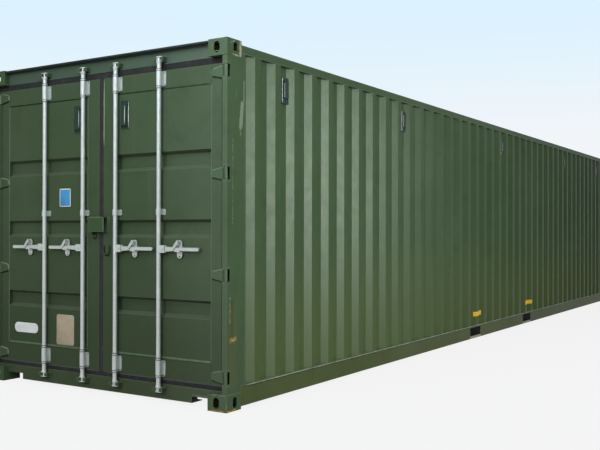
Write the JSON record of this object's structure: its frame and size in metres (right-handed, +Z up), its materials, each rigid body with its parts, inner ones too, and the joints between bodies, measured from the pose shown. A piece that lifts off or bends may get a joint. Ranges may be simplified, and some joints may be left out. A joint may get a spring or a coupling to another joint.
{
  "type": "shipping container",
  "caption": "Closed general purpose shipping container with corrugated walls, corner castings, fork pockets and two rear doors with lock rods and handles.",
  "frame": {"origin": "middle of the footprint, at the underside of the bottom castings", "axes": "+X to the right seen from the doors, +Y from the doors to the closed end, +Z up"},
  "size_m": [2.438, 12.192, 2.591],
  "materials": {
    "green_paint": "semi-gloss dark green paint",
    "underframe_paint": "matt dark underseal",
    "black_rubber": "matt black rubber",
    "galvanised_steel": "dull hot dip galvanised",
    "vent_plastic": "matt dark green plastic",
    "plywood": "sealed hardwood plywood",
    "yellow_film": "plain yellow film",
    "blue_film": "plain blue film",
    "white_film": "plain white film",
    "tan_plate": "tan coated metal plate"
  },
  "bodies": {
    "frame": {"corner_castings": "green_paint", "door_corner_posts": "green_paint", "front_corner_posts": "green_paint", "hinge_pins": "green_paint", "door_header": "green_paint", "door_sill": "green_paint", "front_cross_rails": "green_paint", "front_wall": "green_paint", "side_wall_right": "green_paint", "side_wall_left": "green_paint", "top_side_rails": "green_paint", "bottom_side_rails": "green_paint", "side_vents": "vent_plastic", "roof": "green_paint", "floor": "plywood", "cross_members_door_end": "underframe_paint", "cross_members_middle": "underframe_paint", "cross_members_front_end": "underframe_paint", "fork_pockets": "underframe_paint", "fork_pocket_straps": "underframe_paint", "fork_pocket_frames": "green_paint", "cam_keepers": "green_paint"},
    "left_door": {"left_door_frame": "green_paint", "left_door_panel": "green_paint", "left_door_gasket": "black_rubber", "left_hinge_blades": "green_paint", "left_rod_bearings": "galvanised_steel", "left_handle_retainers": "galvanised_steel", "left_door_vent": "vent_plastic", "lock_staple": "green_paint"},
    "right_door": {"right_door_frame": "green_paint", "right_door_panel": "green_paint", "right_door_gasket": "black_rubber", "right_hinge_blades": "green_paint", "right_rod_bearings": "galvanised_steel", "right_handle_retainers": "galvanised_steel", "right_door_vent": "vent_plastic", "lock_box": "green_paint", "tie_ring": "green_paint"},
    "rod_1": {"lock_rod_1": "galvanised_steel"},
    "handle_1": {"handle_1": "galvanised_steel"},
    "catch_1": {"catch_1": "galvanised_steel"},
    "rod_2": {"lock_rod_2": "galvanised_steel"},
    "handle_2": {"handle_2": "galvanised_steel"},
    "catch_2": {"catch_2": "galvanised_steel"},
    "rod_3": {"lock_rod_3": "galvanised_steel"},
    "handle_3": {"handle_3": "galvanised_steel"},
    "catch_3": {"catch_3": "galvanised_steel"},
    "rod_4": {"lock_rod_4": "galvanised_steel"},
    "handle_4": {"handle_4": "galvanised_steel"},
    "catch_4": {"catch_4": "galvanised_steel"}
  },
  "joints": [
    {"name": "left_door_hinge", "type": "hinge", "parent": "frame", "child": "left_door", "pos_m": [-1.2, -6.082, 1.3], "axis": [0, 0, -1], "range_deg": [0, 265]},
    {"name": "right_door_hinge", "type": "hinge", "parent": "frame", "child": "right_door", "pos_m": [1.2, -6.082, 1.3], "axis": [0, 0, 1], "range_deg": [0, 265]},
    {"name": "rod_1_turn", "type": "hinge", "parent": "left_door", "child": "rod_1", "pos_m": [-0.596, -6.074, 1.3], "axis": [0, 0, -1], "range_deg": [-105, 0]},
    {"name": "handle_1_lift", "type": "hinge", "parent": "rod_1", "child": "handle_1", "pos_m": [-0.636, -6.074, 1.121], "axis": [0, 1, 0], "range_deg": [0, 8]},
    {"name": "catch_1_swing", "type": "hinge", "parent": "left_door", "child": "catch_1", "pos_m": [-0.778, -6.0865, 1.173], "axis": [0, 1, 0], "range_deg": [0, 100]},
    {"name": "rod_2_turn", "type": "hinge", "parent": "left_door", "child": "rod_2", "pos_m": [-0.17, -6.074, 1.3], "axis": [0, 0, -1], "range_deg": [-105, 0]},
    {"name": "handle_2_lift", "type": "hinge", "parent": "rod_2", "child": "handle_2", "pos_m": [-0.21, -6.074, 1.121], "axis": [0, 1, 0], "range_deg": [0, 8]},
    {"name": "catch_2_swing", "type": "hinge", "parent": "left_door", "child": "catch_2", "pos_m": [-0.352, -6.0865, 1.173], "axis": [0, 1, 0], "range_deg": [0, 100]},
    {"name": "rod_3_turn", "type": "hinge", "parent": "right_door", "child": "rod_3", "pos_m": [0.17, -6.074, 1.3], "axis": [0, 0, 1], "range_deg": [-105, 0]},
    {"name": "handle_3_lift", "type": "hinge", "parent": "rod_3", "child": "handle_3", "pos_m": [0.21, -6.074, 1.121], "axis": [0, -1, 0], "range_deg": [0, 8]},
    {"name": "catch_3_swing", "type": "hinge", "parent": "right_door", "child": "catch_3", "pos_m": [0.352, -6.0865, 1.173], "axis": [0, 1, 0], "range_deg": [0, 100]},
    {"name": "rod_4_turn", "type": "hinge", "parent": "right_door", "child": "rod_4", "pos_m": [0.596, -6.074, 1.3], "axis": [0, 0, 1], "range_deg": [-105, 0]},
    {"name": "handle_4_lift", "type": "hinge", "parent": "rod_4", "child": "handle_4", "pos_m": [0.636, -6.074, 1.121], "axis": [0, -1, 0], "range_deg": [0, 8]},
    {"name": "catch_4_swing", "type": "hinge", "parent": "right_door", "child": "catch_4", "pos_m": [0.778, -6.0865, 1.173], "axis": [0, 1, 0], "range_deg": [0, 100]}
  ]
}
